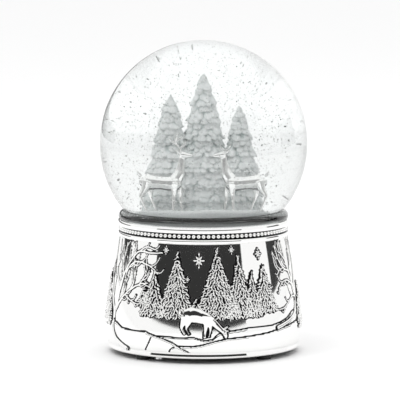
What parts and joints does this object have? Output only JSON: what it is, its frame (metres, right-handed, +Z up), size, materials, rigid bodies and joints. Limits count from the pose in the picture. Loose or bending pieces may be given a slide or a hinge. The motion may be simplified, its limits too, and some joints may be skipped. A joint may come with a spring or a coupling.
{
  "type": "musical snow globe",
  "caption": "Water-filled glass ball with pines and stags in snow, seated in a beaded silver-plated drum that hides a wind-up music movement with a key underneath.",
  "frame": {"origin": "on the standing plane, under the middle of the drum", "axes": "+Z up through the ball, front towards -Y, +X to the viewer's right"},
  "size_m": [0.1, 0.1, 0.1503],
  "materials": {
    "glass": "clear polished",
    "liquid": "clear water",
    "rubber": "matt black",
    "sealant": "clear silicone",
    "snow": "granular white",
    "frosted_resin": "frosted translucent",
    "silver_paint": "silver lustre",
    "silver_plate": "mirror polished",
    "antique_silver": "polished relief over blackened ground",
    "black_plastic": "moulded",
    "plated_steel": "nickel plated",
    "steel": "ground",
    "brass": "turned",
    "cast_zinc": "as cast"
  },
  "bodies": {
    "root": {"glass_globe": "glass", "rubber_stopper": "rubber", "snow_mound": "snow", "tree_middle": "frosted_resin", "tree_left": "frosted_resin", "tree_right": "frosted_resin", "deer_left": "silver_paint", "deer_right": "silver_paint", "liquid_fill": "liquid", "collar": "silver_plate", "seat_sealant": "sealant", "collar_screws": "plated_steel", "beaded_band": "silver_plate", "base_drum": "antique_silver", "rubber_feet": "rubber", "bottom_cover": "black_plastic", "cover_screws": "plated_steel", "movement_screws": "plated_steel", "spring_housing": "cast_zinc", "mainspring": "steel", "bracket_screws": "plated_steel", "left_bracket": "cast_zinc", "right_bracket": "cast_zinc", "outer_bracket": "cast_zinc", "governor_bracket": "cast_zinc", "bedplate": "cast_zinc", "tone_comb": "steel", "comb_screws": "plated_steel"},
    "winding_group": {"winding_key": "plated_steel", "winding_arbor": "steel", "bevel_wheel": "brass"},
    "cylinder_group": {"pin_cylinder": "brass", "cylinder_arbor": "steel", "cylinder_pins": "steel", "cylinder_gear": "brass", "bevel_pinion": "brass"},
    "second_group": {"second_arbor": "steel", "second_pinion": "brass", "worm_wheel": "brass"},
    "governor_group": {"governor_spindle": "steel", "governor_worm": "steel", "governor_fan": "black_plastic"}
  },
  "joints": [
    {"name": "key_unwind", "type": "hinge", "parent": "root", "child": "winding_group", "pos_m": [-0.017, 0, 0.02], "axis": [0, 0, 1], "range_deg": [-1800, 0]},
    {"name": "cylinder_turn", "type": "hinge", "parent": "root", "child": "cylinder_group", "pos_m": [0, 0, 0.032], "axis": [1, 0, 0], "continuous": true},
    {"name": "second_turn", "type": "hinge", "parent": "root", "child": "second_group", "pos_m": [0, -0.009, 0.02484], "axis": [1, 0, 0], "continuous": true},
    {"name": "governor_spin", "type": "hinge", "parent": "root", "child": "governor_group", "pos_m": [0.0279, -0.0156, 0.03], "axis": [0, 0, 1], "continuous": true}
  ],
  "couplings": [
    {"joint": "cylinder_turn", "follows": "key_unwind", "ratio": 2},
    {"joint": "second_turn", "follows": "key_unwind", "ratio": -7.2},
    {"joint": "governor_spin", "follows": "key_unwind", "ratio": -72}
  ]
}
